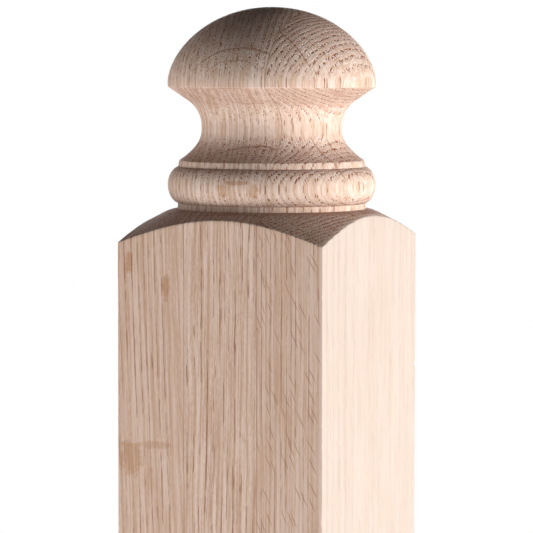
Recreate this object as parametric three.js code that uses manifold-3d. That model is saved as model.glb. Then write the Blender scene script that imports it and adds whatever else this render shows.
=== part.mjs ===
// A wooden newel post: a plain square post whose top is turned, out of the same blank, into a
// button cap on a hollowed neck, a half-round roll and a sloping shoulder.
// Millimetres, +Z up. The origin is the middle of the sawn foot.
import * as THREE from "three";
import { mergeVertices } from "three/addons/utils/BufferGeometryUtils.js";
import Module from "manifold-3d";

// The square post, 3 1/2 by 3 1/2 by 48 inches.
const POST_WIDTH = 88.9;
const POST_HEIGHT = 1219.2;
const ARRIS_RADIUS = 0.5;

// The turning. Heights are taken upwards from its foot, where it leaves the square post.
const TURNING_HEIGHT = 79.9;
const TURNING_FOOT = POST_HEIGHT - TURNING_HEIGHT;
// The lathe's centres were set a little off the middle of the square, in X and in Y.
const OFF_CENTRE = 0.8;

// The button: a full dome, a small round at its rim and a sloping underside.
const BUTTON_RADIUS = 41.4;
const DOME_FOOT = 50.4;
const DOME_SIDE_POWER = 2.07;
const DOME_TOP_POWER = 1.68;
const RIM_ROUND_RADIUS = 0.9;
const UNDERSIDE_ANGLE = THREE.MathUtils.degToRad(55.5);

// The neck: a round hollow above its narrowest place and a slacker one below it.
const NECK_RADIUS = 27.95;
const NECK_TOP = 32.8;
const NECK_FOOT = 31;
const UPPER_HOLLOW_RADIUS = 12.1;

// The fillet under the neck, the roll, and the ring that it sits on.
const FILLET_TOP = 19.15;
const FILLET_TOP_RADIUS = 36.75;
const FILLET_FOOT_RADIUS = 37.25;
const ROLL_CORE_RADIUS = 35.75;
const ROLL_DEPTH = 5.65;
const ROLL_HALF_HEIGHT = 7.6;
const ROLL_MIDDLE = 9.42;
const RING_TOP_RADIUS = 37.3;
const RING_FOOT_RADIUS = 37.45;

// The shoulder: turned wood that slopes down to the four faces and ends there in arches.
const SHOULDER_ROUND_RADIUS = 14.6;
const SHOULDER_INNER_ANGLE = THREE.MathUtils.degToRad(5);
const SHOULDER_ANGLE = THREE.MathUtils.degToRad(27.3);
const BLANK_RADIUS = POST_WIDTH * 0.75;

// How fine the facets are.
const TURNS = 64;
const DOME_STEPS = 12;
const RIM_STEPS = 3;
const HOLLOW_STEPS = 7;
const ROLL_STEPS = 9;
const SHOULDER_STEPS = 3;
const ARRIS_STEPS = 3;

const wasm = await Module();
wasm.setup();

// Calls place(t) for steps + 1 even values of t from 0 to 1.
function along(steps, place) {
  return Array.from({ length: steps + 1 }, (_, i) => place(i / steps));
}

// Where the sloping shoulder starts, below its small round.
function shoulderSlopeStart() {
  const out = Math.sin(SHOULDER_ANGLE) - Math.sin(SHOULDER_INNER_ANGLE);
  const down = Math.cos(SHOULDER_INNER_ANGLE) - Math.cos(SHOULDER_ANGLE);
  return new THREE.Vector2(
    RING_FOOT_RADIUS + SHOULDER_ROUND_RADIUS * out,
    -SHOULDER_ROUND_RADIUS * down,
  );
}

// The shoulder, from the blank's outside up to the foot of the ring.
function shoulder() {
  const start = shoulderSlopeStart();
  const drop = (BLANK_RADIUS - start.x) * Math.tan(SHOULDER_ANGLE);
  const round = along(SHOULDER_STEPS, (t) => {
    const angle = THREE.MathUtils.lerp(SHOULDER_ANGLE, SHOULDER_INNER_ANGLE, t);
    return new THREE.Vector2(
      start.x - SHOULDER_ROUND_RADIUS * (Math.sin(SHOULDER_ANGLE) - Math.sin(angle)),
      start.y + SHOULDER_ROUND_RADIUS * (Math.cos(angle) - Math.cos(SHOULDER_ANGLE)),
    );
  });
  return [new THREE.Vector2(BLANK_RADIUS, start.y - drop), ...round];
}

// The height on the roll, above or below its middle, where it has this radius.
function rollHeightAt(radius) {
  const out = (radius - ROLL_CORE_RADIUS) / ROLL_DEPTH;
  return ROLL_HALF_HEIGHT * Math.sqrt(1 - out * out);
}

// The roll, an ellipse's outer part, from the ring up to the fillet.
function roll() {
  const low = -rollHeightAt(RING_TOP_RADIUS);
  const high = rollHeightAt(FILLET_FOOT_RADIUS);
  const from = Math.asin(low / ROLL_HALF_HEIGHT);
  const to = Math.asin(high / ROLL_HALF_HEIGHT);
  return along(ROLL_STEPS, (t) => {
    const angle = THREE.MathUtils.lerp(from, to, t);
    return new THREE.Vector2(
      ROLL_CORE_RADIUS + ROLL_DEPTH * Math.cos(angle),
      ROLL_MIDDLE + ROLL_HALF_HEIGHT * Math.sin(angle),
    );
  });
}

// The hollow below the neck, a parabola that rises from the fillet's top edge.
function lowerHollow() {
  const top = new THREE.Vector2(NECK_RADIUS, NECK_FOOT);
  const bend = new THREE.Vector2(NECK_RADIUS, (NECK_FOOT + FILLET_TOP) / 2);
  const foot = new THREE.Vector2(FILLET_TOP_RADIUS, FILLET_TOP);
  return new THREE.QuadraticBezierCurve(foot, bend, top).getPoints(HOLLOW_STEPS);
}

// The hollow above the neck, up to where it runs out into the button's straight underside.
function upperHollow() {
  return along(HOLLOW_STEPS, (t) => {
    const angle = UNDERSIDE_ANGLE * t;
    return new THREE.Vector2(
      NECK_RADIUS + UPPER_HOLLOW_RADIUS * (1 - Math.cos(angle)),
      NECK_TOP + UPPER_HOLLOW_RADIUS * Math.sin(angle),
    );
  });
}

// The small round at the rim, which the straight underside runs into without a corner.
function rim() {
  const start = upperHollow().at(-1);
  const centreRadius = BUTTON_RADIUS - RIM_ROUND_RADIUS;
  const touch = centreRadius + RIM_ROUND_RADIUS * Math.cos(UNDERSIDE_ANGLE);
  const touchHeight = start.y + (touch - start.x) / Math.tan(UNDERSIDE_ANGLE);
  const centreHeight = touchHeight + RIM_ROUND_RADIUS * Math.sin(UNDERSIDE_ANGLE);
  return along(RIM_STEPS, (t) => {
    const angle = -UNDERSIDE_ANGLE * (1 - t);
    return new THREE.Vector2(
      centreRadius + RIM_ROUND_RADIUS * Math.cos(angle),
      centreHeight + RIM_ROUND_RADIUS * Math.sin(angle),
    );
  });
}

// The dome above the rim: a curve a little squarer than an ellipse, up to its middle.
function dome() {
  const rise = TURNING_HEIGHT - DOME_FOOT;
  return along(DOME_STEPS, (t) => {
    const angle = (t * Math.PI) / 2;
    return new THREE.Vector2(
      BUTTON_RADIUS * Math.cos(angle) ** (2 / DOME_SIDE_POWER),
      DOME_FOOT + rise * Math.sin(angle) ** (2 / DOME_TOP_POWER),
    );
  });
}

// The whole half section in the post's own heights, from the middle of the foot to the apex.
function halfSection() {
  const turned = [...shoulder(), ...roll(), ...lowerHollow(), ...upperHollow(), ...rim(), ...dome()];
  turned.at(-1).x = 0;
  const section = turned.map((point) => new THREE.Vector2(point.x, point.y + TURNING_FOOT));
  return [new THREE.Vector2(0, 0), new THREE.Vector2(BLANK_RADIUS, 0), ...section];
}

// The blank as the lathe would leave it, if the square post below were round too.
function turnedBlank() {
  const blank = new THREE.LatheGeometry(halfSection(), TURNS).rotateX(Math.PI / 2);
  return blank.translate(OFF_CENTRE, OFF_CENTRE, 0);
}

// A square prism with eased arrises, longer than the post at both ends.
function squarePrism() {
  const half = POST_WIDTH / 2;
  const inner = half - ARRIS_RADIUS;
  const square = new THREE.Shape();
  square.moveTo(half, -inner);
  for (let side = 0; side < 4; side += 1) {
    const turn = (side * Math.PI) / 2;
    const centre = new THREE.Vector2(inner, inner).rotateAround(new THREE.Vector2(), turn);
    square.absarc(centre.x, centre.y, ARRIS_RADIUS, turn, turn + Math.PI / 2, false);
  }
  square.closePath();
  const length = POST_HEIGHT + POST_WIDTH;
  return new THREE.ExtrudeGeometry(square, {
    depth: length,
    bevelEnabled: false,
    curveSegments: ARRIS_STEPS,
  }).translate(0, 0, (POST_HEIGHT - length) / 2);
}

// A closed geometry as a solid that can be cut.
function solidOf(geometry) {
  const bare = geometry.clone();
  bare.deleteAttribute("normal");
  bare.deleteAttribute("uv");
  const merged = mergeVertices(bare, 1e-4);
  const mesh = new wasm.Mesh({
    numProp: 3,
    vertProperties: merged.getAttribute("position").array,
    triVerts: new Uint32Array(merged.index.array),
  });
  return new wasm.Manifold(mesh);
}

// A cut solid as a geometry that can be drawn.
function geometryOf(solid) {
  const { vertProperties, triVerts } = solid.getMesh();
  const geometry = new THREE.BufferGeometry();
  geometry.setAttribute("position", new THREE.BufferAttribute(vertProperties, 3));
  geometry.setIndex(new THREE.BufferAttribute(triVerts, 1));
  geometry.computeVertexNormals();
  return geometry;
}

// The sloping shoulder meets the four flat faces, which is what leaves an arch on each.
function post() {
  const solid = solidOf(turnedBlank()).intersect(solidOf(squarePrism()));
  const redOak = new THREE.MeshStandardMaterial({
    color: 0xd2b49e,
    roughness: 0.72,
    metalness: 0,
  });
  const mesh = new THREE.Mesh(geometryOf(solid), redOak);
  mesh.name = "post";
  return mesh;
}

const newel = new THREE.Group();
newel.add(post());

export default newel;
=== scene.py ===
# %% [markdown]
# # A turned newel post in unfinished red oak
#
# The real thing is a plain square stair post. Its top was turned on a lathe, out of the same
# blank, into a button cap on a hollowed neck, a half-round roll and a sloping shoulder. The blank
# was glued from three boards, so three different grains run up it side by side.
#
# The lesson has two halves. First comes the shape: one mesh, swept round the lathe's axis and then
# handed over to the square. Then comes the wood, a material that is solid right through, so that
# long grain, end grain and everything between them come out of one pattern.

# %% Load the frame
import math

import bmesh
import bpy
from mathutils import Matrix, Vector


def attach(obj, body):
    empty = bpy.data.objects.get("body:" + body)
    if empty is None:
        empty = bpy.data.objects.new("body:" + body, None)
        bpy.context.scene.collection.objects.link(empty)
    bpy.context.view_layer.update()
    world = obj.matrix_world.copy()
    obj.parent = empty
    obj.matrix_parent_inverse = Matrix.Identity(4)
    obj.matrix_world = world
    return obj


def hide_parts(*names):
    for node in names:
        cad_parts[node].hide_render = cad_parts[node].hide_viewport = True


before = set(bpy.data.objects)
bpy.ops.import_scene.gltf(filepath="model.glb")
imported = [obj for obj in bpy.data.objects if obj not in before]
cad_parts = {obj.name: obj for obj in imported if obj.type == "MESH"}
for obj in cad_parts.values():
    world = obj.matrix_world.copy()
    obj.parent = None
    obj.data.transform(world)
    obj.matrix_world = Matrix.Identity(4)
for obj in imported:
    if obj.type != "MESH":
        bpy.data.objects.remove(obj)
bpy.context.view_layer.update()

MM = 0.001

# %% [markdown]
# ## The sizes
#
# A lathe profile is a handful of sizes. They are the same ones that the solid has, so the fine mesh
# lies where the solid lies. Heights in the turning are taken upwards from its foot, the line where
# the round work leaves the square post.

# %% Sizes of the post, in millimetres
POST_WIDTH = 88.9
POST_HEIGHT = 1219.2
ARRIS_RADIUS = 0.5
TURNING_HEIGHT = 79.9
TURNING_FOOT = POST_HEIGHT - TURNING_HEIGHT
# The lathe's axis stood a little off the middle of the square.
OFF_CENTRE = Vector((0.8, 0.8))

BUTTON_RADIUS = 41.4
DOME_FOOT = 50.4
DOME_SIDE_POWER = 2.07
DOME_TOP_POWER = 1.68
RIM_ROUND_RADIUS = 0.9
UNDERSIDE_ANGLE = math.radians(55.5)

NECK_RADIUS = 27.95
NECK_TOP = 32.8
NECK_FOOT = 31.0
UPPER_HOLLOW_RADIUS = 12.1

FILLET_TOP = 19.15
FILLET_TOP_RADIUS = 36.75
FILLET_FOOT_RADIUS = 37.25
ROLL_CORE_RADIUS = 35.75
ROLL_DEPTH = 5.65
ROLL_HALF_HEIGHT = 7.6
ROLL_MIDDLE = 9.42
RING_TOP_RADIUS = 37.3
RING_FOOT_RADIUS = 37.45

SHOULDER_ROUND_RADIUS = 14.6
SHOULDER_INNER_ANGLE = math.radians(5)
SHOULDER_ANGLE = math.radians(27.3)

print(f"the button is {2 * BUTTON_RADIUS / POST_WIDTH:.2f} of the post's width")

# %% [markdown]
# ## The turned profile
#
# Each member of the turning is one short curve: an ellipse for the roll, a parabola for the lower
# hollow, a circle for the upper one, and a curve a little squarer than an ellipse for the dome.
# Each function returns its points from the bottom up. A crisp corner on real wood still has a tiny
# round, so corners get two points a hair apart instead of one.

# %% Curves of the profile
CORNER_EASE = 0.12
# In how many steps each curve is drawn.
ROLL_STEPS = 32
LOWER_HOLLOW_STEPS = 16
UPPER_HOLLOW_STEPS = 14
UNDERSIDE_STEPS = 5
RIM_STEPS = 6
DOME_STEPS = 44


def along(steps, place):
    return [place(i / steps) for i in range(steps + 1)]


def roll():
    def angle_at(radius):
        return math.acos((radius - ROLL_CORE_RADIUS) / ROLL_DEPTH)

    low, high = -angle_at(RING_TOP_RADIUS), angle_at(FILLET_FOOT_RADIUS)

    def place(t):
        angle = low + (high - low) * t
        return (
            ROLL_CORE_RADIUS + ROLL_DEPTH * math.cos(angle),
            ROLL_MIDDLE + ROLL_HALF_HEIGHT * math.sin(angle),
        )

    return along(ROLL_STEPS, place)


def lower_hollow():
    rise, depth = NECK_FOOT - FILLET_TOP, FILLET_TOP_RADIUS - NECK_RADIUS
    return along(LOWER_HOLLOW_STEPS, lambda t: (
        NECK_RADIUS + depth * (1 - t) ** 2,
        FILLET_TOP + rise * t,
    ))


def upper_hollow():
    def place(t):
        angle = UNDERSIDE_ANGLE * t
        return (
            NECK_RADIUS + UPPER_HOLLOW_RADIUS * (1 - math.cos(angle)),
            NECK_TOP + UPPER_HOLLOW_RADIUS * math.sin(angle),
        )

    return along(UPPER_HOLLOW_STEPS, place)


def rim():
    start_radius, start_height = upper_hollow()[-1]
    centre_radius = BUTTON_RADIUS - RIM_ROUND_RADIUS
    touch = centre_radius + RIM_ROUND_RADIUS * math.cos(UNDERSIDE_ANGLE)
    touch_height = start_height + (touch - start_radius) / math.tan(UNDERSIDE_ANGLE)
    centre_height = touch_height + RIM_ROUND_RADIUS * math.sin(UNDERSIDE_ANGLE)

    def place(t):
        angle = -UNDERSIDE_ANGLE * (1 - t)
        return (
            centre_radius + RIM_ROUND_RADIUS * math.cos(angle),
            centre_height + RIM_ROUND_RADIUS * math.sin(angle),
        )

    slope = along(UNDERSIDE_STEPS, lambda t: (
        start_radius + (touch - start_radius) * t,
        start_height + (touch_height - start_height) * t,
    ))
    return slope[1:-1] + along(RIM_STEPS, place)


def dome():
    rise = TURNING_HEIGHT - DOME_FOOT

    def place(t):
        angle = t * math.pi / 2
        return (
            BUTTON_RADIUS * math.cos(angle) ** (2 / DOME_SIDE_POWER),
            DOME_FOOT + rise * math.sin(angle) ** (2 / DOME_TOP_POWER),
        )

    return along(DOME_STEPS, place)[:-1]


def turned_profile():
    ring = [
        (RING_FOOT_RADIUS, 0.0),
        (RING_FOOT_RADIUS, CORNER_EASE),
        (RING_TOP_RADIUS, roll()[0][1]),
    ]
    fillet_foot = roll()[-1][1]
    fillet = [
        (FILLET_FOOT_RADIUS, fillet_foot + CORNER_EASE),
        (FILLET_TOP_RADIUS + CORNER_EASE, FILLET_TOP - 2 * CORNER_EASE),
    ]
    return ring + roll()[1:] + fillet + lower_hollow() + upper_hollow() + rim() + dome()


print(len(turned_profile()), "points in the turned profile")

# %% [markdown]
# ## The plan: a circle and a square with the same spokes
#
# The post is round above and square below, and it has to be one skin. So both outlines use the same
# spokes: each spoke is a direction, together with how far out the square's edge lies on it. The
# arrises, the long corners of the square, are eased to a small round as a planer leaves them.

# %% Spokes of the plan
FACE_STEPS = 42
ARRIS_STEPS = 6
# An extra spoke this far beside each arris keeps the shading of the flat face flat.
SUPPORT = 0.25


def spokes():
    half = POST_WIDTH / 2
    inner = half - ARRIS_RADIUS
    flat = [-inner, -inner + SUPPORT]
    flat += [inner * (2 * i / FACE_STEPS - 1) for i in range(1, FACE_STEPS)]
    flat += [inner - SUPPORT, inner]
    corner = [i * math.pi / 2 / ARRIS_STEPS for i in range(1, ARRIS_STEPS)]
    face = [Vector((half, y)) for y in flat]
    centre = Vector((inner, inner))
    face += [centre + ARRIS_RADIUS * Vector((math.cos(a), math.sin(a))) for a in corner]
    outline = []
    for side in range(4):
        outline += [Matrix.Rotation(side * math.pi / 2, 2) @ point - OFF_CENTRE for point in face]
    return [(point.normalized(), point.length) for point in outline]


PLAN = spokes()
print(len(PLAN), "spokes")

# %% [markdown]
# ## The shoulder and its arches
#
# The lathe cuts a cone down into the square blank. Where the cone runs out through a flat face, the
# edge of the cut is an arch: highest in the middle of the face, where the face is nearest the axis,
# and lowest at the corners. So the arches need no drawing. They are the shoulder's height, taken at
# the square's own edge.

# %% Height of the shoulder at a radius
EDGE_EASE = 0.35


def shoulder_height(radius):
    sine_in, sine_out = math.sin(SHOULDER_INNER_ANGLE), math.sin(SHOULDER_ANGLE)
    slope_start = RING_FOOT_RADIUS + SHOULDER_ROUND_RADIUS * (sine_out - sine_in)
    if radius < slope_start:
        sine = sine_in + (radius - RING_FOOT_RADIUS) / SHOULDER_ROUND_RADIUS
        return -SHOULDER_ROUND_RADIUS * (math.cos(SHOULDER_INNER_ANGLE) - math.sqrt(1 - sine**2))
    drop = SHOULDER_ROUND_RADIUS * (math.cos(SHOULDER_INNER_ANGLE) - math.cos(SHOULDER_ANGLE))
    return -drop - (radius - slope_start) * math.tan(SHOULDER_ANGLE)


corner_radius = max(out for _, out in PLAN)
print(f"arch top {shoulder_height(POST_WIDTH / 2):.1f} mm, "
      f"farthest corner {shoulder_height(corner_radius):.1f} mm")

# %% [markdown]
# ## Nicks in the arrises
#
# Handling leaves small nicks in long wooden corners. A nick is a shallow scoop: points near it move
# towards the axis, less and less with distance. Each one is placed by its corner and its height.
# The photo shows one clear nick on the near arris. The first two lie 5 and 9 mm below it, and the
# other four are guesses that match nothing in the photo.

# %% Nicks in the arrises
# Corner (0 is on the right, 1 at the back, 2 on the left and 3 nearest the camera), then how far
# below the turning's foot, length and depth, in millimetres.
NICKS = [
    (3, 80.5, 3.0, 0.2),
    (3, 84.0, 1.8, 0.15),
    (3, 31.0, 2.2, 0.25),
    (3, 118.0, 4.0, 0.3),
    (0, 64.0, 3.0, 0.4),
    (1, 101.0, 3.5, 0.4),
]
NICK_HALF_WIDTH = 1.6


def nicked(point):
    """The point, in millimetres above the turning's foot, after the nicks."""
    for corner, below, length, depth in NICKS:
        angle = math.pi / 4 + corner * math.pi / 2
        toward = Vector((math.cos(angle), math.sin(angle), 0))
        across = (point - toward * (toward @ point)).to_2d().length
        reach = math.hypot(across / NICK_HALF_WIDTH, (point.z + below) / (length / 2))
        if toward @ point > 0 and reach < 1:
            point = point - toward * depth * (1 - reach**2)
    return point


print(len(NICKS), "nicks, the deepest", max(nick[3] for nick in NICKS), "mm")

# %% [markdown]
# ## One skin
#
# The mesh is a stack of rings with the same number of points, so every ring joins the next with
# plain quads. From the top down: the dome's apex, the turned members, the shoulder spreading out
# from circle to square, the eased edge of the arches, and the square post down to its sawn foot.

# %% Rings from the apex to the foot
SHOULDER_STEPS = 16
EASE_TURNS = (30, 60, 90)
ARCH_STEPS = 14
# Below the arches the rings are level. They lie close where the nicks are, then wide apart.
FLAT_BELOW = 22.0
FINE_TO = 128.0
FINE_STEP = 1.5
COARSE_STEPS = 72


def turned_rings():
    for radius, height in reversed(turned_profile()):
        yield [Vector((*(way * radius), height)) for way, _ in PLAN]


def shoulder_rings():
    for i in range(1, SHOULDER_STEPS + 1):
        ring = []
        for way, out in PLAN:
            radius = RING_FOOT_RADIUS + (out - EDGE_EASE - RING_FOOT_RADIUS) * i / SHOULDER_STEPS
            ring.append(Vector((*(way * radius), shoulder_height(radius))))
        yield ring
    for turn in EASE_TURNS:
        inset = EDGE_EASE * (1 - math.sin(math.radians(turn)))
        sink = EDGE_EASE * (1 - math.cos(math.radians(turn)))
        yield [
            Vector((*(way * (out - inset)), shoulder_height(out - inset) - sink))
            for way, out in PLAN
        ]


def square_rings():
    top = [shoulder_height(out) - EDGE_EASE for _, out in PLAN]
    for i in range(1, ARCH_STEPS + 1):
        share = i / ARCH_STEPS
        yield [
            Vector((*(way * out), high + (-FLAT_BELOW - high) * share))
            for (way, out), high in zip(PLAN, top)
        ]
    fine_steps = int((FINE_TO - FLAT_BELOW) / FINE_STEP)
    levels = [FLAT_BELOW + FINE_STEP * i for i in range(1, fine_steps)]
    foot = TURNING_FOOT - EDGE_EASE
    levels += [FINE_TO + (foot - FINE_TO) * i / COARSE_STEPS for i in range(COARSE_STEPS + 1)]
    for level in levels:
        yield [Vector((*(way * out), -level)) for way, out in PLAN]
    yield [Vector((*(way * (out - EDGE_EASE)), -TURNING_FOOT)) for way, out in PLAN]


rings = [*turned_rings(), *shoulder_rings(), *square_rings()]
print(len(rings), "rings of", len(PLAN), "points")

# %% [markdown]
# Neighbouring rings are joined by quads, and a fan of triangles closes each end. The skin is shaded
# smooth, but stays sharp wherever it turns by more than a chosen angle, so the crisp corners of the
# turning and the edges of the arches stay crisp.

# %% Build the mesh
SHARP_ANGLE = math.radians(28)


def build_post():
    skin = bmesh.new()
    aside = Vector((*OFF_CENTRE, 0))
    lift = Vector((0, 0, TURNING_FOOT))
    loops = [[skin.verts.new((nicked(p + aside) + lift) * MM) for p in ring] for ring in rings]
    apex = skin.verts.new(Vector((*OFF_CENTRE, POST_HEIGHT)) * MM)
    foot = skin.verts.new((0, 0, 0))
    count = len(PLAN)
    for i in range(count):
        j = (i + 1) % count
        skin.faces.new((apex, loops[0][i], loops[0][j]))
        skin.faces.new((foot, loops[-1][j], loops[-1][i]))
        for upper, lower in zip(loops, loops[1:]):
            skin.faces.new((upper[i], lower[i], lower[j], upper[j]))
    mesh = bpy.data.meshes.new("newel_post")
    skin.to_mesh(mesh)
    skin.free()
    mesh.shade_smooth()
    mesh.set_sharp_from_angle(angle=SHARP_ANGLE)
    return bpy.data.objects.new("newel_post", mesh)


post = build_post()
bpy.context.scene.collection.objects.link(post)
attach(post, "root")
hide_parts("post")
print(len(post.data.polygons), "faces in the post")

# %% [markdown]
# ## The camera
#
# The camera was fitted to where the photo shows the post's three visible long edges, its arches and
# the ellipses of the turning. The photo hardly tells how far away it stands, because a longer lens
# from farther off looks nearly the same, so the distance was chosen and the rest fitted to it. It
# stands level with the dome and looks slightly down, with a long lens. The left face is turned 26
# degrees away from it, so the right face is strongly foreshortened.

# %% Camera
PHOTO_SIZE = 533
SENSOR_MM = 36.0
FOCAL_PIXELS = 3266.5
VIEW_AZIMUTH = math.radians(26.14)
CAMERA_DISTANCE = 1300.0
CAMERA_SIDE = 2.05
CAMERA_ABOVE_TURNING_FOOT = 66.76
CAMERA_PITCH = math.radians(3.964)
CAMERA_ROLL = math.radians(0.054)
CLIP_START = 0.05

to_right = Vector((math.cos(VIEW_AZIMUTH), math.sin(VIEW_AZIMUTH), 0))
to_camera = Vector((math.sin(VIEW_AZIMUTH), -math.cos(VIEW_AZIMUTH), 0))
upwards = Vector((0, 0, 1))

camera_data = bpy.data.cameras.new("camera")
camera_data.sensor_width = SENSOR_MM
camera_data.lens = FOCAL_PIXELS * SENSOR_MM / PHOTO_SIZE
camera_data.clip_start = CLIP_START
camera = bpy.data.objects.new("camera", camera_data)
bpy.context.scene.collection.objects.link(camera)
place = to_camera * CAMERA_DISTANCE - to_right * CAMERA_SIDE
place += upwards * (TURNING_FOOT + CAMERA_ABOVE_TURNING_FOOT) + Vector((*OFF_CENTRE, 0))
back = to_camera * math.cos(CAMERA_PITCH) + upwards * math.sin(CAMERA_PITCH)
top = back.cross(to_right)
axes = Matrix((to_right, top, back)).transposed() @ Matrix.Rotation(CAMERA_ROLL, 3, "Z")
camera.matrix_world = Matrix.Translation(place * MM) @ axes.to_4x4()
bpy.context.scene.camera = camera
print(f"lens {camera_data.lens:.1f} mm")

# %% [markdown]
# ## Colours
#
# Colours are read as sRGB hex values, as a picture editor shows them. Blender works with linear
# light, so one function turns them.

# %% From hex to linear colour
def colour(hex_code):
    def linear(part):
        return part / 12.92 if part <= 0.04045 else ((part + 0.055) / 1.055) ** 2.4

    parts = [int(hex_code[i : i + 2], 16) / 255 for i in (1, 3, 5)]
    return (*(linear(part) for part in parts), 1.0)


print("linear value of mid grey:", round(colour("#808080")[0], 3))

# %% [markdown]
# ## One small function for every node
#
# A material is a web of nodes. The web reads best as code if one line makes one node: what kind it
# is, what goes into it, and how it is set. An input is either a number or another node's output.

# %% Add a shader node
def add(tree, kind, inputs=(), output=0, **settings):
    """Adds a shader node, fills its inputs in order or by name, and returns one output."""
    made = tree.nodes.new("ShaderNode" + kind)
    for name, value in settings.items():
        setattr(made, name, value)
    named = inputs if isinstance(inputs, dict) else dict(enumerate(inputs))
    for socket, value in named.items():
        if isinstance(value, bpy.types.NodeSocket):
            tree.links.new(value, made.inputs[socket])
        else:
            made.inputs[socket].default_value = value
    return made.outputs[output]


print("the smallest and largest hex colours:", colour("#000000")[0], colour("#ffffff")[0])

# %% [markdown]
# ## The wood
#
# The post is raw red oak: planed on its faces, turned above, with no stain or varnish, so it is
# pale, pinkish and dead matt. Three things draw its figure. Each year's growth starts with a row of
# wide open pores, which show as dark dots on end grain and dark dashes on long grain. Rays run
# outwards from the pith and show as flecks. And fine fibres streak everything lengthwise.
#
# A picture of wood wrapped round the post would look wrong on the dome, so the wood is solid right
# through. All of it hangs on one idea: unroll the tree. Every point of the wood has a distance from
# the pith, a place round its ring and a height. In those three numbers the figure is made of
# straight rows and lines. The rings bend it, so every surface cuts it as a real tool does.
#
# First come the three boards. Each was sawn from another place in a tree, so each has its own pith,
# ring width and lean. The piths were tried until the rows of pores ran over the dome about as they
# do in the photo.

# %% The three boards
# Where the two glue lines lie along X, from the left board to the right one, in millimetres.
GLUE_LINES = (-15.1, 16.4)

# For each board: its pith in plan, and how far its grain leans in X and Y for each millimetre up.
PITHS = ((-165.0, -35.0, 0), (-72.0, -43.0, 0), (-60.0, 3.0, 0))
LEANS = ((-0.036, 0.0, 0), (0.004, 0.0, 0), (0.0, 0.0, 0))
RING_WIDTHS = (2.6, 2.6, 1.75)
WAVINESS = (0.25, 1.0, 0.5)
# How far from its pith a board's wood is, near enough to turn angles into millimetres.
REACH = 90.0


def by_board(tree, right_of, kind, values):
    """Picks a board's own value at each point. kind is FLOAT, VECTOR or RGBA."""
    first, second, made = {"FLOAT": (2, 3, 0), "VECTOR": (4, 5, 1), "RGBA": (6, 7, 2)}[kind]
    picked = values[0]
    for beyond, value in zip(right_of, values[1:]):
        inputs = {0: beyond, first: picked, second: value}
        picked = add(tree, "Mix", inputs, output=made, data_type=kind)
    return picked


edges = (-POST_WIDTH / 2, *GLUE_LINES, POST_WIDTH / 2)
print("boards", [round(far - near, 1) for near, far in zip(edges, edges[1:])], "mm wide")

# %% [markdown]
# ## Where a point lies in its tree
#
# The first function gives a point's place in the post, in millimetres. The second takes away the
# board's pith and lean, sways it a little, because no tree grows straight, and unrolls it. Rings
# are never evenly wide either, so slow noise along the radius squeezes and spreads the years.

# %% Places in the wood
# Width, length up the post and size of the grain's sideways waves, in millimetres.
WAVES = ((26.0, 120.0, 3.2), (6.0, 30.0, 1.5))
# How many years wide the unevenness of the rings is, and how quickly it changes with distance.
UNEVEN_YEARS = 1.2
UNEVEN_SCALE = 0.08


def place_in_post(tree):
    """The point in millimetres, from the turning's foot, and for each glue line 1 to its right."""
    metres = add(tree, "TexCoord", output="Object")
    here = add(tree, "VectorMath", {0: metres, "Scale": 1 / MM}, operation="SCALE")
    here = add(tree, "VectorMath", [here, (0, 0, TURNING_FOOT)], operation="SUBTRACT")
    x = add(tree, "SeparateXYZ", [here])
    return here, [add(tree, "Math", [x, line], operation="GREATER_THAN") for line in GLUE_LINES]


def place_in_tree(tree, here, right_of):
    """The point unrolled: distance from the pith in years, millimetres round the ring, height."""
    z = add(tree, "SeparateXYZ", [here], output=2)
    lean = by_board(tree, right_of, "VECTOR", LEANS)
    lean = add(tree, "VectorMath", {0: lean, "Scale": z}, operation="SCALE")
    pith = by_board(tree, right_of, "VECTOR", PITHS)
    grain = add(tree, "VectorMath", [here, pith], operation="SUBTRACT")
    grain = add(tree, "VectorMath", [grain, lean], operation="SUBTRACT")
    waviness = by_board(tree, right_of, "FLOAT", WAVINESS)
    for across, length, size in WAVES:
        cells = add(tree, "VectorMath", [here, (1 / across, 1 / across, 1 / length)],
                    operation="MULTIPLY")
        wave = add(tree, "TexNoise", {"Vector": cells, "Scale": 1.0, "Detail": 1.0}, output="Color")
        wave = add(tree, "VectorMath", [wave, (0.5, 0.5, 0.5)], operation="SUBTRACT")
        wave = add(tree, "VectorMath", {0: wave, "Scale": size}, operation="SCALE")
        wave = add(tree, "VectorMath", {0: wave, "Scale": waviness}, operation="SCALE")
        grain = add(tree, "VectorMath", [grain, wave], operation="ADD")
    flat = add(tree, "VectorMath", [grain, (1, 1, 0)], operation="MULTIPLY")
    distance = add(tree, "VectorMath", [flat], output="Value", operation="LENGTH")
    ring_width = by_board(tree, right_of, "FLOAT", RING_WIDTHS)
    year = add(tree, "Math", [distance, ring_width], operation="DIVIDE")
    uneven = add(tree, "TexNoise", {"W": distance, "Scale": UNEVEN_SCALE, "Detail": 0.0},
                 noise_dimensions="1D")
    year = add(tree, "Math", [uneven, UNEVEN_YEARS, year], operation="MULTIPLY_ADD")
    east = add(tree, "SeparateXYZ", [grain])
    north = add(tree, "SeparateXYZ", [grain], output=1)
    angle = add(tree, "Math", [north, east], operation="ARCTAN2")
    round_ring = add(tree, "Math", [angle, REACH], operation="MULTIPLY")
    return add(tree, "CombineXYZ", [year, round_ring, z])


print("the grain sways by up to", sum(size for _, _, size in WAVES) / 2, "mm")
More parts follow.
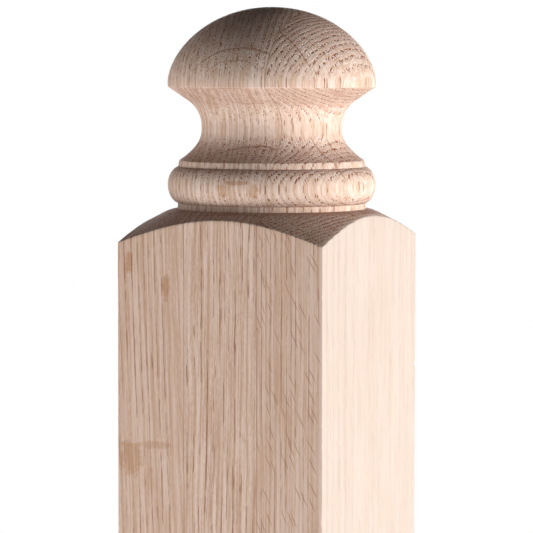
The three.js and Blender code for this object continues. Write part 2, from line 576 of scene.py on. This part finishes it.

# %% [markdown]
# ## Pores
#
# A pore is a long tube in the wood that each year starts with. Cut across it is a dot, and cut
# lengthwise it is a dash. Cells in the unrolled wood give a tube each, in rows along the rings.
# Where a tool cuts a tube across, its torn lip catches the light: a pale painted highlight lies
# beside it.

# %% Pores
# A real pore is about 0.3 mm wide, less than one pixel, so pores are drawn a little coarse.
PORE_ROWS = (3.0, 3.0, 2.0)
PORE_SPACING = 0.95
PORE_LENGTH = 7.0
PORE_STRENGTHS = (0.65, 0.7, 0.94)
# How much of that is left on a planed face, where the planer closed the cut pores again.
PLANED_PORES = (0.85, 0.95, 0.48)
# Half a pore's width, in shares of its row: cut lengthwise, where it is a thin dash, and across.
PORE_DASH = 0.17
PORE_DOT = 0.37
PORE_RANDOMNESS = 0.6
# Noise along a tube widens and narrows it by this much, about its own middle value.
PORE_CHANGE = 0.9
# How far inside a tube its brown starts and is whole, and how far outside it the lip's painted
# highlight does.
PORE_EDGE = (-0.03, 0.04)
LIP_EDGE = (-0.28, -0.1)
# The shares of a year where its porous wood has faded out and where it is still whole.
EARLY_WOOD = (0.5, 0.32)
# How strong the pores still are in the dense wood that ends a year.
LATE_PORES = 0.15


def early_wood(tree, unrolled):
    """1 in the porous wood that each year starts with, 0 in the dense wood that ends it."""
    year = add(tree, "SeparateXYZ", [unrolled])
    share = add(tree, "Math", [year], operation="FRACT")
    return add(tree, "MapRange", [share, *EARLY_WOOD], interpolation_type="SMOOTHSTEP")


def pores(tree, unrolled, early, end_grain, right_of, dash_strength):
    """Rows of long tubes, and the painted highlight beside each where the tool cut it across."""
    rows = by_board(tree, right_of, "VECTOR", [
        (across, 1 / PORE_SPACING, 1 / PORE_LENGTH) for across in PORE_ROWS])
    cells = add(tree, "VectorMath", [unrolled, rows], operation="MULTIPLY")
    near = add(tree, "TexVoronoi", {"Vector": cells, "Scale": 1.0, "Randomness": PORE_RANDOMNESS},
               output="Distance", voronoi_dimensions="2D")
    # The noise makes a tube come and go, so lengthwise it is a row of dashes.
    comes_and_goes = add(tree, "TexNoise", {"Vector": cells, "Scale": 1.0, "Detail": 1.0})
    near = add(tree, "Math", [comes_and_goes, PORE_CHANGE, near], operation="MULTIPLY_ADD")
    middle = PORE_CHANGE / 2
    size = add(tree, "MapRange", [end_grain, 0.0, 1.0, PORE_DASH + middle, PORE_DOT + middle])
    inside = add(tree, "Math", [size, near], operation="SUBTRACT")
    tube = add(tree, "MapRange", [inside, *PORE_EDGE], interpolation_type="SMOOTHSTEP")
    beside = add(tree, "MapRange", [inside, *LIP_EDGE], interpolation_type="SMOOTHSTEP")
    lip_highlight = add(tree, "Math", [beside, tube], operation="SUBTRACT")
    share = add(tree, "MapRange", [early, 0.0, 1.0, LATE_PORES, 1.0])
    share = add(tree, "Math", [share, by_board(tree, right_of, "FLOAT", PORE_STRENGTHS)],
                operation="MULTIPLY")
    across = add(tree, "MapRange", [end_grain, 0.0, 1.0, dash_strength, 1.0])
    tube = add(tree, "Math", [tube, across], operation="MULTIPLY")
    lip_highlight = add(tree, "Math", [lip_highlight, end_grain], operation="MULTIPLY")
    return [add(tree, "Math", [part, share], operation="MULTIPLY") for part in (tube, lip_highlight)]


row_widths = [round(ring / rows, 2) for ring, rows in zip(RING_WIDTHS, PORE_ROWS)]
print("rows of pores are", row_widths, "mm wide")

# %% [markdown]
# ## Rays
#
# Rays are thin sheets that carry sap outwards from the pith. A face cut across them shows short
# slanting flecks, as on the right-hand board, and end grain shows them as long dark lines that
# cross the rings. So a ray is thin round the ring, long up the post, and endless along the radius.

# %% Rays
# Millimetres apart round the ring, length up the post, half width as a share of the spacing, and
# strength in each board. The long rays are drawn coarser than real, to show at this size.
SHORT_RAYS = (0.85, 26.0, 0.15, (0.0, 0.1, 0.85))
LONG_RAYS = (2.6, 300.0, 0.18, (0.3, 0.9, 1.0))
# The ray planes lean a little, so on the front face the flecks slant.
RAY_TWIST = 0.19


def rays(tree, unrolled, right_of, spacing, length, thinness, strengths):
    """Flecks in planes that run outwards from the pith."""
    round_ring = add(tree, "SeparateXYZ", [unrolled], output=1)
    z = add(tree, "SeparateXYZ", [unrolled], output=2)
    twisted = add(tree, "Math", [z, RAY_TWIST, round_ring], operation="MULTIPLY_ADD")
    across = add(tree, "Math", [twisted, spacing], operation="DIVIDE")
    up = add(tree, "Math", [z, length], operation="DIVIDE")
    point = add(tree, "CombineXYZ", [across, up])
    near = add(tree, "TexVoronoi", {"Vector": point, "Scale": 1.0}, output="Distance",
               voronoi_dimensions="2D")
    fleck = add(tree, "MapRange", [near, thinness, 0.5 * thinness], interpolation_type="SMOOTHSTEP")
    strength = by_board(tree, right_of, "FLOAT", strengths)
    return add(tree, "Math", [fleck, strength], operation="MULTIPLY")


print("half widths of the rays:", [round(kind[0] * kind[2], 2) for kind in (SHORT_RAYS, LONG_RAYS)],
      "mm")

# %% [markdown]
# ## Streaks and fibres
#
# Between the pores the wood is never one colour. Noise that is stretched along the grain gives the
# broad and fine streaks and the fibres. The same noise, stretched along the radius instead, gives
# the finest rays, which cross the rings on end grain.

# %% Streaks and fibres
# Size in years, millimetres round the ring and millimetres up, and how much detail. Real fibres and
# fine rays are under 0.1 mm wide, so both are drawn coarser.
BROAD_STREAKS = ((0.8, 12.0, 90.0), 1.0)
FINE_STREAKS = ((0.25, 3.0, 28.0), 1.0)
FIBRES = ((0.1, 0.4, 2.5), 3.0)
FINE_RAYS = ((5.0, 0.65, 9.0), 1.0)
STREAK_ROUGHNESS = 0.6


def streaks(tree, unrolled, size, detail):
    """Noise stretched into sheets of this size, pale where it is low and brown where it is high."""
    cells = add(tree, "VectorMath", [unrolled, tuple(1 / part for part in size)],
                operation="MULTIPLY")
    return add(tree, "TexNoise", {
        "Vector": cells, "Scale": 1.0, "Detail": detail, "Roughness": STREAK_ROUGHNESS})


print("fibres are", FIBRES[0][1], "mm wide and", FIBRES[0][2], "mm long")

# %% [markdown]
# ## Marks of handling
#
# The photo shows a brown smudge low on the left face, two small ones near its top and a faint ring
# on the roll. Each is a soft spot with a ragged edge, placed in the same millimetres as the rest.

# %% Stains
# Centre and half size in X, Y and Z, in millimetres, with Z from the turning's foot, and strength.
STAINS = (
    ((-38.5, -44.4, -97.0), (6.0, 5.0, 7.5), 0.5),
    ((-27.5, -44.4, -91.5), (8.0, 5.0, 1.6), 0.35),
    ((-30.5, -44.4, -106.0), (3.5, 5.0, 5.0), 0.2),
    ((-39.3, -44.4, -20.3), (1.8, 5.0, 4.8), 0.6),
    ((-22.9, -44.4, -29.6), (1.7, 5.0, 5.2), 0.55),
    ((-0.5, -40.5, 8.5), (2.2, 4.0, 3.4), 0.6),
    ((12.0, -38.6, 8.3), (1.8, 4.0, 3.4), 0.6),
    ((5.5, -40.5, 11.6), (6.5, 4.0, 0.9), 0.5),
)
# How coarse the ragged edge is in millimetres, how ragged, and between which distances it fades.
STAIN_EDGE = 3.0
STAIN_RAGGED = 1.8
STAIN_FADE = (2.1, 1.5)
STAIN_DETAIL = 4.0
STAIN_ROUGHNESS = 0.7


def stains(tree, here):
    cells = add(tree, "VectorMath", {0: here, "Scale": 1 / STAIN_EDGE}, operation="SCALE")
    ragged = add(tree, "TexNoise", {
        "Vector": cells, "Scale": 1.0, "Detail": STAIN_DETAIL, "Roughness": STAIN_ROUGHNESS})
    total = 0.0
    for centre, half, strength in STAINS:
        out = add(tree, "VectorMath", [here, centre], operation="SUBTRACT")
        out = add(tree, "VectorMath", [out, tuple(1 / part for part in half)],
                  operation="MULTIPLY")
        out = add(tree, "VectorMath", [out], output="Value", operation="LENGTH")
        out = add(tree, "Math", [ragged, STAIN_RAGGED, out], operation="MULTIPLY_ADD")
        spot = add(tree, "MapRange", [out, *STAIN_FADE, 0.0, strength],
                   interpolation_type="SMOOTHSTEP")
        total = add(tree, "Math", [total, spot], operation="MAXIMUM")
    return total


print(len(STAINS), "stains")

# %% [markdown]
# ## How each part of the surface was cut
#
# One wood looks different on each surface, because each was cut another way. What faces along the
# grain is end grain, such as the shoulder and the top of the dome. The flat faces were planed,
# which closes their pores again. The right-hand face, which the key lamp lights strongly, gets a
# painted highlight: its figure is faded and its colour cooled, as if washed out by the light. Each
# is a share from 0 to 1.

# %% Cuts
# How much a surface has to face along the grain, from where end grain starts to where it is whole.
END_GRAIN_FACING = (0.15, 0.6)
# In the photo the button's underside shows weaker end grain than the surfaces that face up: between
# these facings the share of the end grain goes from the one number to the other.
UNDERSIDE_FACING = (-0.15, 0.0)
UNDERSIDE_SHARE = (0.45, 1.0)
# Where the painted washout of the brightly lit right face starts along X, and the millimetres in
# which its figure fades to what is left.
WASHOUT_START = 42.8
WASHOUT_FADE = 0.6
WASHOUT_FIGURE_LEFT = 0.3
# The cool tint of painted highlight on that face starts a little farther out.
COOL_HIGHLIGHT_START = WASHOUT_START + 1.3
# Wood this near to a flat face's plane counts as planed.
PLANED_DEPTH = 0.2


def cuts(tree, here):
    """How far a point faces along the grain; end grain, painted washout, planed, painted cool tint.
    """
    normal = add(tree, "TexCoord", output="Normal")
    facing_up = add(tree, "SeparateXYZ", [normal], output=2)
    along_grain = add(tree, "Math", [facing_up], operation="ABSOLUTE")
    end_grain = add(tree, "MapRange", [along_grain, *END_GRAIN_FACING],
                    interpolation_type="SMOOTHSTEP")
    upper = add(tree, "MapRange", [facing_up, *UNDERSIDE_FACING, *UNDERSIDE_SHARE])
    end_grain = add(tree, "Math", [end_grain, upper], operation="MULTIPLY")
    x = add(tree, "SeparateXYZ", [here])
    # Painted highlight: the figure fades on the brightly lit right face, as if washed out by light.
    washout = add(tree, "MapRange", [x, WASHOUT_START, WASHOUT_START + WASHOUT_FADE, 1.0, WASHOUT_FIGURE_LEFT])
    # Painted highlight: the cool tint of that brightly lit face.
    cool_highlight = add(tree, "Math", [x, COOL_HIGHLIGHT_START], operation="GREATER_THAN")
    reach = add(tree, "VectorMath", [here], operation="ABSOLUTE")
    along_x = add(tree, "SeparateXYZ", [reach])
    along_y = add(tree, "SeparateXYZ", [reach], output=1)
    widest = add(tree, "Math", [along_x, along_y], operation="MAXIMUM")
    planed = add(tree, "Math", [widest, POST_WIDTH / 2 - PLANED_DEPTH], operation="GREATER_THAN")
    return along_grain, end_grain, washout, planed, cool_highlight


# How deep the painted washout reaches into the right face.
print("the plain skin is", round(POST_WIDTH / 2 - WASHOUT_START, 2), "mm thick")

# %% [markdown]
# ## Pale and tan wood
#
# The streaks, the fibres, the finest rays and the porous wood of each year all push the colour the
# same way, from pale to tan. So they are added up into one number before any colour is mixed.

# %% Tone
# How strongly each part pushes, and the sums where the wood is all pale and all tan.
FINE_PUSH = 1.5
FIBRE_PUSH = 1.2
FINE_RAY_PUSH = 1.8
EARLY_PUSH = 0.3
TONE_RANGE = (1.6, 2.2)


def tan_share(tree, unrolled, fibres, early, end_grain, washout):
    """0 in the palest wood and 1 in the brownest."""
    tone = add(tree, "Math", [streaks(tree, unrolled, *FINE_STREAKS), FINE_PUSH],
               operation="MULTIPLY")
    tone = add(tree, "Math", [streaks(tree, unrolled, *BROAD_STREAKS), tone], operation="ADD")
    tone = add(tree, "Math", [fibres, FIBRE_PUSH, tone], operation="MULTIPLY_ADD")
    tone = add(tree, "MapRange", [tone, *TONE_RANGE])
    crossed = add(tree, "Math", [streaks(tree, unrolled, *FINE_RAYS), 0.5], operation="SUBTRACT")
    crossed = add(tree, "Math", [crossed, end_grain], operation="MULTIPLY")
    tone = add(tree, "Math", [crossed, FINE_RAY_PUSH, tone], operation="MULTIPLY_ADD")
    tone = add(tree, "Math", [early, EARLY_PUSH, tone], operation="MULTIPLY_ADD")
    # The painted washout fades the tone on the brightly lit right face.
    return add(tree, "Math", [tone, washout], operation="MULTIPLY", use_clamp=True)


print("tone runs over", round(TONE_RANGE[1] - TONE_RANGE[0], 2))

# %% [markdown]
# ## Glue lines
#
# The boards were glued before the turning, so each joint shows as a hair line wherever it is cut.

# %% Glue lines
GLUE_LINE_WIDTH = 0.35
GLUE_STRENGTH = 0.6


def glue_lines(tree, here):
    x = add(tree, "SeparateXYZ", [here])
    seen = 0.0
    for line in GLUE_LINES:
        away = add(tree, "Math", [x, line, 0.5 * GLUE_LINE_WIDTH], operation="COMPARE")
        seen = add(tree, "Math", [seen, away], operation="MAXIMUM")
    return add(tree, "Math", [seen, GLUE_STRENGTH], operation="MULTIPLY")


print(len(GLUE_LINES), "glue lines, each", GLUE_LINE_WIDTH, "mm wide")

# %% [markdown]
# ## The colours of the oak
#
# Raw red oak is pinkish tan. Its pores lie in shadow and its rays are denser wood, so both are
# browner, and neither is grey. The three boards differ a little in tone, as they do in the photo.

# %% Colours of the oak
RAW_OAK_PALE = ("#e0c9bb", "#e6d1c4", "#dfc9bb")
RAW_OAK_TAN = "#c9a891"
PORE_BROWN = "#8c4f28"
# The painted highlight on the torn lip of each cut pore.
LIP_HIGHLIGHT = "#fbf1e8"
RAY_BROWN = "#96603c"
STAIN_BROWN = "#d8b68c"
GLUE_BROWN = "#a07a62"
# Planing presses the fibres flat, which dulls the faces a little. The cool tint is a painted
# highlight, for the key lamp's light on the right face. The open ends of the fibres soak up light,
# so end grain is darker, and the warm cast of its tint is painted shade.
PLANED_TINT = "#f8f4f1"
COOL_HIGHLIGHT_TINT = "#e6eff4"
END_GRAIN_AND_SHADE_TINT = "#d3c3be"
SOAKED_SHARE = 0.2
LIP_SHARE = 0.95
PORE_SHARE = 0.95
FLECK_SHARE = 0.6
# The end grain's tint, partly painted shade, comes in late, only where a surface nearly faces along
# the grain.
END_GRAIN_POWER = 3.0
# Pores on the turned surfaces, against those on the planed faces in PLANED_PORES.
TURNED_PORES = 0.95

print("pale oak, linear:", [round(part, 2) for part in colour(RAW_OAK_PALE[0])[:3]])

# %% [markdown]
# ## Putting the wood together
#
# The parts above only say where things are. Here they become colour, roughness and relief. The
# colours are laid over each other from the wood itself up to the tints of each cut. Wood has an IOR
# of about 1.5. Raw wood scatters almost everything, so it is rough, and its highlight is weak.

# %% Unfinished red oak
# How much fibres stand up and soaked wood sinks, against a pore, and the depth in millimetres.
FIBRE_RELIEF = 0.4
SOAKED_RELIEF = -0.6
BUMP_STRENGTH = 0.6
BUMP_DEPTH = 0.3
FIBRE_RANGE = (0.3, 0.7)
ROUGHNESS = (0.62, 0.8)
OAK_IOR = 1.5
SPECULAR_LEVEL = 0.3


def unfinished_red_oak():
    """Red oak, planed or turned and left raw: chalky and matt, pinkish, with no gloss anywhere."""
    material = bpy.data.materials.new("unfinished_red_oak")
    material.use_nodes = True
    tree = material.node_tree
    tree.nodes.clear()
    here, right_of = place_in_post(tree)
    unrolled = place_in_tree(tree, here, right_of)
    along_grain, end_grain, washout, planed, cool_highlight = cuts(tree, here)

    early = early_wood(tree, unrolled)
    planed_strength = by_board(tree, right_of, "FLOAT", PLANED_PORES)
    dash_strength = add(tree, "MapRange", [planed, 0.0, 1.0, TURNED_PORES, planed_strength])
    pore, lip_highlight = pores(tree, unrolled, early, end_grain, right_of, dash_strength)
    # The painted washout of the brightly lit right face fades its pores here and its flecks below.
    pore = add(tree, "Math", [pore, washout], operation="MULTIPLY")
    short = rays(tree, unrolled, right_of, *SHORT_RAYS)
    long = rays(tree, unrolled, right_of, *LONG_RAYS)
    long = add(tree, "Math", [long, end_grain], operation="MULTIPLY")
    fleck = add(tree, "Math", [short, long], operation="MAXIMUM")
    fleck = add(tree, "Math", [fleck, washout], operation="MULTIPLY")
    fibres = streaks(tree, unrolled, *FIBRES)
    tone = tan_share(tree, unrolled, fibres, early, end_grain, washout)
    soaked = add(tree, "Math", [early, end_grain], operation="MULTIPLY")
    soaked = add(tree, "Math", [soaked, by_board(tree, right_of, "FLOAT", PORE_STRENGTHS)],
                 operation="MULTIPLY")

    # How each layer is blended, its share at each point, how strong it is, and its colour.
    layers = (
        ("MIX", tone, 1.0, RAW_OAK_TAN),
        ("MIX", soaked, SOAKED_SHARE, PORE_BROWN),
        # Painted highlight beside the cut pores.
        ("MIX", lip_highlight, LIP_SHARE, LIP_HIGHLIGHT),
        ("MIX", pore, PORE_SHARE, PORE_BROWN),
        ("MIX", fleck, FLECK_SHARE, RAY_BROWN),
        ("MIX", glue_lines(tree, here), 1.0, GLUE_BROWN),
        ("MULTIPLY", stains(tree, here), 1.0, STAIN_BROWN),
        ("MULTIPLY", planed, 1.0, PLANED_TINT),
        # Painted highlight: a cool tint over the brightly lit right face.
        ("MULTIPLY", cool_highlight, 1.0, COOL_HIGHLIGHT_TINT),
        # End grain is darker, and the warm cast of its tint is painted shade.
        ("MULTIPLY", add(tree, "Math", [along_grain, END_GRAIN_POWER], operation="POWER"), 1.0,
         END_GRAIN_AND_SHADE_TINT),
    )
    wood = by_board(tree, right_of, "RGBA", [colour(pale) for pale in RAW_OAK_PALE])
    for blend, place, strength, over in layers:
        share = add(tree, "Math", [place, strength], operation="MULTIPLY")
        wood = add(tree, "Mix", {0: share, 6: wood, 7: colour(over)}, output=2, data_type="RGBA",
                   blend_type=blend)

    relief = add(tree, "Math", [fibres, FIBRE_RELIEF], operation="MULTIPLY")
    relief = add(tree, "Math", [relief, pore], operation="SUBTRACT")
    relief = add(tree, "Math", [soaked, SOAKED_RELIEF, relief], operation="MULTIPLY_ADD")
    bump = add(tree, "Bump", {
        "Height": relief, "Strength": BUMP_STRENGTH, "Distance": BUMP_DEPTH * MM})
    shader = add(tree, "BsdfPrincipled", {
        "Base Color": wood, "Roughness": add(tree, "MapRange", [fibres, *FIBRE_RANGE, *ROUGHNESS]),
        "Normal": bump, "IOR": OAK_IOR, "Specular IOR Level": SPECULAR_LEVEL,
    })
    add(tree, "OutputMaterial", {"Surface": shader}, output=slice(0))
    print(len(layers), "layers of colour from", len(tree.nodes), "nodes")
    return material


post.data.materials.append(unfinished_red_oak())
print("materials on the post:", [m.name for m in post.data.materials])

# %% [markdown]
# ## Floor
#
# The photo's light comes from the right and a little from the front, and more from below than from
# above, as on a light table. So the floor is a pale disc that also glows a little. It is small,
# because farther out the lamps don't reach it and it would turn grey against the white behind.

# %% Floor
FLOOR_RADIUS = 1.15
FLOOR_SEGMENTS = 128
FLOOR_PALE = "#eeebe7"
FLOOR_ROUGHNESS = 0.9
FLOOR_GLOW = 0.55


def light_table():
    """Opal acrylic, moulded matt and lit from beneath: an even pale glow without reflections."""
    disc = bmesh.new()
    bmesh.ops.create_circle(disc, cap_ends=True, segments=FLOOR_SEGMENTS, radius=FLOOR_RADIUS)
    mesh = bpy.data.meshes.new("floor")
    disc.to_mesh(mesh)
    disc.free()
    floor = bpy.data.objects.new("floor", mesh)
    bpy.context.scene.collection.objects.link(floor)
    material = bpy.data.materials.new("pale_light_table")
    material.use_nodes = True
    shader = material.node_tree.nodes["Principled BSDF"]
    shader.inputs["Base Color"].default_value = colour(FLOOR_PALE)
    shader.inputs["Roughness"].default_value = FLOOR_ROUGHNESS
    shader.inputs["Emission Color"].default_value = colour(FLOOR_PALE)
    shader.inputs["Emission Strength"].default_value = FLOOR_GLOW
    mesh.materials.append(material)
    return floor


light_table()
print("the floor is", 2 * FLOOR_RADIUS, "m across")

# %% [markdown]
# ## World
#
# The photo's background is plain white, but white light from all round would wash the wood out. So
# the camera sees white, while the world lights the post only faintly: a little near the horizon and
# less overhead, which leaves the top of the dome and the shoulder dark, as they are in the photo.

# %% World
SKY_SIDE = 0.16
SKY_TOP = 0.04
SKY_RISE = 0.3


def studio_world():
    world = bpy.data.worlds.new("studio")
    bpy.context.scene.world = world
    world.use_nodes = True
    tree = world.node_tree
    tree.nodes.clear()
    way = add(tree, "TexCoord", output="Generated")
    height = add(tree, "SeparateXYZ", [way], output=2)
    strength = add(tree, "MapRange", [height, 0.0, SKY_RISE, SKY_SIDE, SKY_TOP],
                   interpolation_type="SMOOTHSTEP")
    lamp = add(tree, "Background", {"Color": colour("#ffffff"), "Strength": strength})
    seen = add(tree, "Background", {"Color": colour("#ffffff"), "Strength": 1.0})
    direct = add(tree, "LightPath", output="Is Camera Ray")
    mixed = add(tree, "MixShader", [direct, lamp, seen])
    add(tree, "OutputWorld", {"Surface": mixed}, output=slice(0))
    return world


print("world:", studio_world().name)

# %% [markdown]
# ## Lamps
#
# Each lamp is a soft box, a wide glowing rectangle that gives no hard shadow. The key stands on the
# right and does most of the work, with a weaker one between it and the camera. The others fill from
# the left, from low down and from behind. Their powers were fitted to how bright the photo is on
# each side of the turning, and then adjusted.

# %% Lamps
# Name, azimuth and elevation in degrees, distance, width and height in metres, power in watts.
LAMPS = (
    ("key", 78, -3, 2.4, 1.6, 0.7, 79.5),
    ("key_edge", 45, -4, 2.4, 1.0, 0.7, 13),
    ("left_side", -95, 6, 2.4, 1.2, 1.0, 13),
    ("low_front", -15, -38, 1.6, 0.8, 0.8, 9),
    ("low_left", -70, -38, 1.6, 0.8, 0.8, 16),
    ("low_right", 55, -38, 1.6, 0.8, 0.8, 4),
    ("behind", 178, 0, 2.6, 1.6, 1.4, 45),
)
# All lamps aim at the middle of the part that the photo shows.
AIM_HEIGHT = 1.12


def soft_lamp(name, azimuth, elevation, distance, width, height, power):
    """A soft box. Azimuth is counted to the right of the camera, seen from the post."""
    turn, rise = math.radians(azimuth), math.radians(elevation)
    level = to_camera * math.cos(turn) + to_right * math.sin(turn)
    way = level * math.cos(rise) + upwards * math.sin(rise)
    data = bpy.data.lights.new(name, "AREA")
    data.shape = "RECTANGLE"
    data.size, data.size_y = width, height
    data.energy = power
    lamp = bpy.data.objects.new(name, data)
    bpy.context.scene.collection.objects.link(lamp)
    lamp.location = way * distance + upwards * AIM_HEIGHT
    lamp.rotation_euler = way.to_track_quat("Z", "Y").to_euler()
    lamp.visible_camera = False


for settings in LAMPS:
    soft_lamp(*settings)
bpy.context.scene.view_settings.view_transform = "Standard"
bpy.context.scene.view_settings.look = "None"
print(len(LAMPS), "lamps,", sum(settings[-1] for settings in LAMPS), "W in all")
